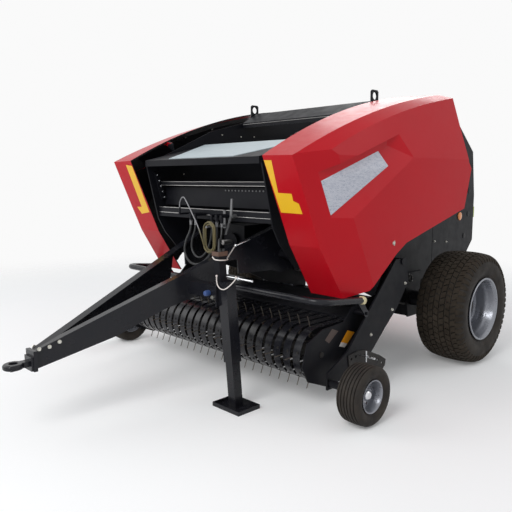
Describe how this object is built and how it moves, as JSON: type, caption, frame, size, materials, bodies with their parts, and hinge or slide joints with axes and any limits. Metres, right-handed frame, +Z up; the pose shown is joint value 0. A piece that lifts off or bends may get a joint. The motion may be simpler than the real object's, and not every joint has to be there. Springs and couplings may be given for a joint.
{
  "type": "round baler",
  "caption": "Towed fixed-chamber round baler with a tined pickup, hinged side guards, a lifting tailgate, gauge wheels and a parking jack.",
  "frame": {"origin": "on the ground, on the centre line, half way along the machine", "axes": "+Z up, the drawbar points along -Y, +X is the machine's left"},
  "size_m": [2.6636, 4.226, 2.044],
  "materials": {
    "black_paint": "satin",
    "red_paint": "gloss",
    "grey_paint": "satin",
    "steel": "bare",
    "tyre": "matt",
    "rim_silver": "satin",
    "lamp_plastic": "gloss",
    "rubber": "matt",
    "cable_olive": "matt",
    "cable_grey": "matt"
  },
  "bodies": {
    "chassis": {"chamber_walls": "black_paint", "front_rollers": "steel", "tailgate_hinges": "black_paint", "front_cover": "grey_paint", "top_bridge": "black_paint", "front_tube": "black_paint", "front_panel": "black_paint", "front_beam": "black_paint", "cross_beam": "black_paint", "drawbar": "black_paint", "hitch_eye": "black_paint", "gearbox": "black_paint", "pto_stub": "steel", "lifting_lugs": "black_paint", "axle_frame": "black_paint", "pickup_pivots": "black_paint", "jack_arm": "black_paint", "jack_sleeve": "black_paint", "guard_hinges": "black_paint", "barrel_pins": "black_paint", "front_deck": "black_paint", "control_lever": "steel", "hose_holder": "black_paint", "hose_elbows": "steel", "hose_hook": "black_paint", "cable_coil": "cable_olive", "hose_outer": "rubber", "hose_inner": "rubber", "hose_parked": "rubber", "control_cable": "cable_grey"},
    "tailgate": {"tailgate_walls": "black_paint", "tailgate_rollers": "steel", "tailgate_skin": "red_paint", "rod_bosses": "black_paint", "tail_lamps": "lamp_plastic", "tailgate_ribs": "black_paint"},
    "pickup": {"pickup_frame": "black_paint", "gauge_arms": "black_paint", "stripper_bands": "black_paint", "guard_pins": "black_paint"},
    "wind_guard": {"wind_guard": "black_paint"},
    "reel": {"tine_reel": "black_paint"},
    "jack": {"jack_leg": "black_paint"},
    "wheel_left": {"tyre_left": "tyre", "rim_left": "rim_silver"},
    "gauge_wheel_left": {"gauge_tyre_left": "tyre", "gauge_rim_left": "rim_silver"},
    "guard_left": {"guard_left": "red_paint"},
    "barrel_left": {"cylinder_barrel_left": "black_paint"},
    "rod_left": {"cylinder_rod_left": "steel"},
    "wheel_right": {"tyre_right": "tyre", "rim_right": "rim_silver"},
    "gauge_wheel_right": {"gauge_tyre_right": "tyre", "gauge_rim_right": "rim_silver"},
    "guard_right": {"guard_right": "red_paint"},
    "barrel_right": {"cylinder_barrel_right": "black_paint"},
    "rod_right": {"cylinder_rod_right": "steel"}
  },
  "joints": [
    {"name": "wheel_left_spin", "type": "hinge", "parent": "chassis", "child": "wheel_left", "pos_m": [1.066, 1.003, 0.425], "axis": [1, 0, 0], "continuous": true},
    {"name": "gauge_wheel_left_spin", "type": "hinge", "parent": "pickup", "child": "gauge_wheel_left", "pos_m": [1.25, -0.562, 0.18], "axis": [1, 0, 0], "continuous": true},
    {"name": "wheel_right_spin", "type": "hinge", "parent": "chassis", "child": "wheel_right", "pos_m": [-1.066, 1.003, 0.425], "axis": [1, 0, 0], "continuous": true},
    {"name": "gauge_wheel_right_spin", "type": "hinge", "parent": "pickup", "child": "gauge_wheel_right", "pos_m": [-1.25, -0.562, 0.18], "axis": [1, 0, 0], "continuous": true},
    {"name": "tailgate_hinge", "type": "hinge", "parent": "chassis", "child": "tailgate", "pos_m": [0, 1.318, 1.962], "axis": [1, 0, 0], "range_deg": [0, 65]},
    {"name": "pickup_lift", "type": "hinge", "parent": "chassis", "child": "pickup", "pos_m": [0, 0.203, 0.85], "axis": [-1, 0, 0], "range_deg": [0, 8]},
    {"name": "reel_spin", "type": "hinge", "parent": "pickup", "child": "reel", "pos_m": [0, -0.567, 0.345], "axis": [1, 0, 0], "continuous": true},
    {"name": "wind_guard_tilt", "type": "hinge", "parent": "pickup", "child": "wind_guard", "pos_m": [0, -0.227, 0.56], "axis": [-1, 0, 0], "range_deg": [-12, 0]},
    {"name": "jack_slide", "type": "slide", "parent": "chassis", "child": "jack", "axis": [0, -0.0872, 0.9962], "range_m": [0, 0.28]},
    {"name": "guard_left_hinge", "type": "hinge", "parent": "chassis", "child": "guard_left", "pos_m": [0.668, -0.497, 1.67], "axis": [0, -0.9668, -0.2554], "range_deg": [0, 55]},
    {"name": "barrel_left_tilt", "type": "hinge", "parent": "chassis", "child": "barrel_left", "pos_m": [0, 0.753, 1.4], "axis": [1, 0, 0], "range_deg": [0, 14.18]},
    {"name": "rod_left_slide", "type": "slide", "parent": "barrel_left", "child": "rod_left", "axis": [0, 0.9448, 0.3275], "range_m": [0, 0.30319]},
    {"name": "guard_right_hinge", "type": "hinge", "parent": "chassis", "child": "guard_right", "pos_m": [-0.668, -0.497, 1.67], "axis": [0, 0.9668, 0.2554], "range_deg": [0, 55]},
    {"name": "barrel_right_tilt", "type": "hinge", "parent": "chassis", "child": "barrel_right", "pos_m": [0, 0.753, 1.4], "axis": [1, 0, 0], "range_deg": [0, 14.18]},
    {"name": "rod_right_slide", "type": "slide", "parent": "barrel_right", "child": "rod_right", "axis": [0, 0.9448, 0.3275], "range_m": [0, 0.30319]}
  ],
  "couplings": [
    {"joint": "barrel_left_tilt", "follows": "tailgate_hinge", "ratio": 0.21799},
    {"joint": "rod_left_slide", "follows": "tailgate_hinge", "m_per_rad": 0.26716},
    {"joint": "barrel_right_tilt", "follows": "tailgate_hinge", "ratio": 0.21799},
    {"joint": "rod_right_slide", "follows": "tailgate_hinge", "m_per_rad": 0.26716}
  ]
}
